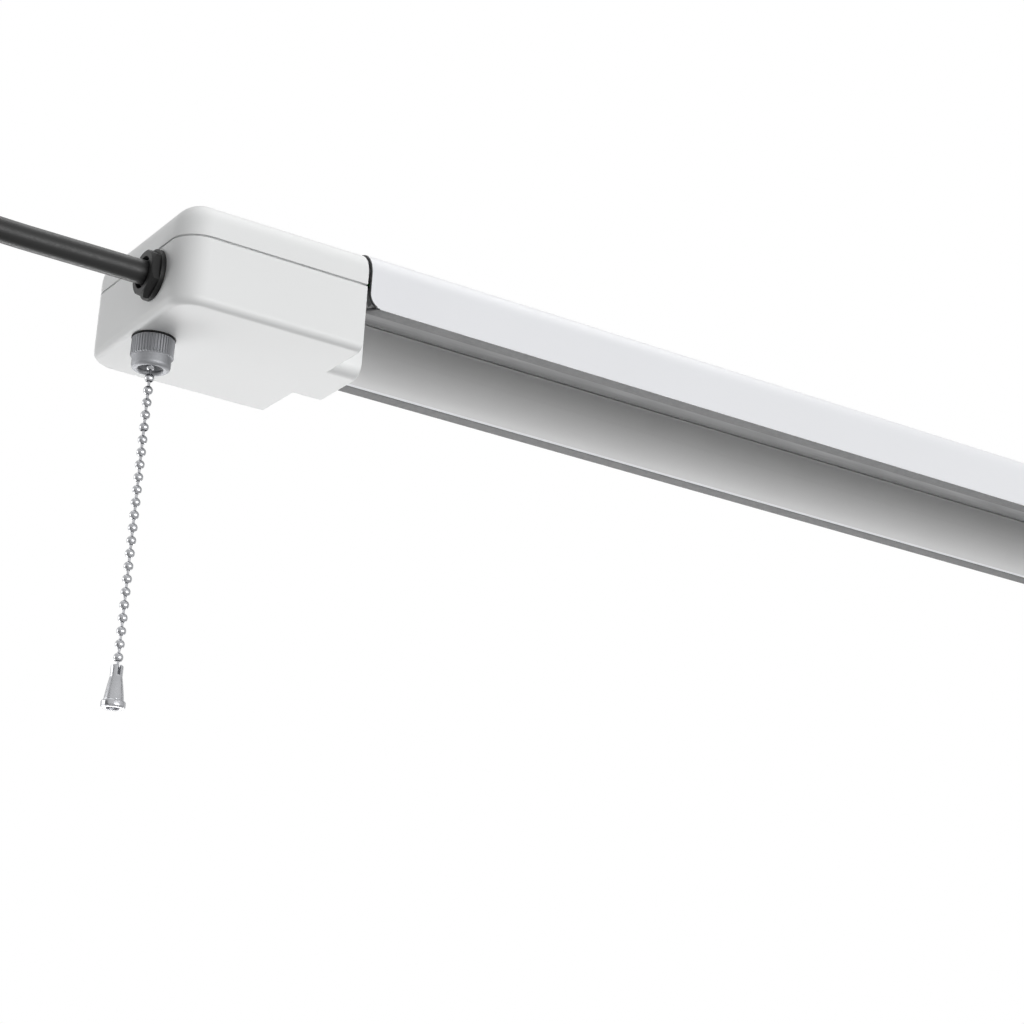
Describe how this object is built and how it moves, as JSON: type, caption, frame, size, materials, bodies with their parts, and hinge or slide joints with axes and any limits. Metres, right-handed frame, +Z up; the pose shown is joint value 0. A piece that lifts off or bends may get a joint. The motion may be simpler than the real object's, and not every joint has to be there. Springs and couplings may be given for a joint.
{
  "type": "hanging shop light",
  "caption": "Long hanging shop light: white sheet-metal channel, strip lens in a curved reflector trough, plastic end caps, bead pull chain and black cord.",
  "frame": {"origin": "centre of the four hanging holes, on the top face of the channel", "axes": "+X along the light, away from the end with the cord and pull chain; +Z up, out of the channel's top; -Y towards the side that the cord is nearer to"},
  "size_m": [1.3774, 0.074, 0.3045],
  "materials": {
    "white_enamel": "satin",
    "trough_enamel": "satin",
    "cap_plastic": "satin",
    "lens_plastic": "satin",
    "board_white": "satin",
    "led_phosphor": "gloss",
    "nickel": "polished",
    "zinc": "satin",
    "black_nylon": "satin",
    "cord_jacket": "matte",
    "plug_rubber": "matte",
    "brass": "satin",
    "phenolic": "matte",
    "acetal": "satin",
    "circuit_board": "satin",
    "transformer_tape": "gloss",
    "capacitor_sleeve": "gloss",
    "connector_nylon": "satin",
    "wire_black": "satin",
    "wire_white": "satin",
    "wire_green": "satin",
    "wire_red": "satin"
  },
  "bodies": {
    "root": {"channel": "white_enamel", "reflector": "trough_enamel", "lens": "lens_plastic", "led_boards": "board_white", "led_chips": "led_phosphor", "board_screws": "zinc", "switch_housing": "cap_plastic", "switch_cover": "cap_plastic", "far_housing": "cap_plastic", "far_cover": "cap_plastic", "cover_screws": "zinc", "channel_screws": "zinc", "knurled_nut": "nickel", "switch_bushing": "nickel", "switch_case": "phenolic", "switch_lid": "phenolic", "switch_contacts": "brass", "drum_pin": "zinc", "gland_body": "black_nylon", "gland_nut": "black_nylon", "gland_locknut": "black_nylon", "gland_seal": "cord_jacket", "cord_entry": "cord_jacket", "power_cord": "cord_jacket", "cord_coil": "cord_jacket", "cord_tail": "cord_jacket", "cord_tie": "black_nylon", "plug_body": "plug_rubber", "plug_blades": "brass", "plug_ground_pin": "brass", "driver_board": "circuit_board", "driver_transformer": "transformer_tape", "driver_capacitors": "capacitor_sleeve", "driver_connectors": "connector_nylon", "line_lead": "wire_black", "switched_lead": "wire_black", "neutral_lead": "wire_white", "ground_lead": "wire_green", "led_leads": "wire_red", "ground_screw": "brass"},
    "pull": {"pull_slider": "acetal", "slider_spring": "zinc", "chain_top": "nickel"},
    "contact_drum": {"contact_drum": "acetal"},
    "chain_upper": {"chain_upper": "nickel"},
    "chain_lower": {"chain_lower": "nickel"},
    "chain_bell": {"chain_bell": "nickel"}
  },
  "joints": [
    {"name": "pull_switch", "type": "slide", "parent": "root", "child": "pull", "axis": [0, 0, -1], "range_m": [0, 0.005], "stiffness_N_per_m": 300, "springref_m": -0.003, "deforming": ["slider_spring"]},
    {"name": "drum_turn", "type": "hinge", "parent": "root", "child": "contact_drum", "pos_m": [-0.6067, 0, -0.0257], "axis": [0, 1, 0], "range_deg": [0, 45]},
    {"name": "chain_swing", "type": "hinge", "parent": "pull", "child": "chain_upper", "pos_m": [-0.619, 0, -0.0526], "axis": [0, 1, 0], "range_deg": [-20, 20]},
    {"name": "chain_side_swing", "type": "hinge", "parent": "chain_upper", "child": "chain_lower", "pos_m": [-0.619, 0, -0.07], "axis": [1, 0, 0], "range_deg": [-20, 20]},
    {"name": "bell_swing", "type": "hinge", "parent": "chain_lower", "child": "chain_bell", "pos_m": [-0.619, 0, -0.1483], "axis": [0, 1, 0], "range_deg": [-20, 20]}
  ],
  "couplings": [
    {"joint": "drum_turn", "follows": "pull_switch", "rad_per_m": 157}
  ]
}
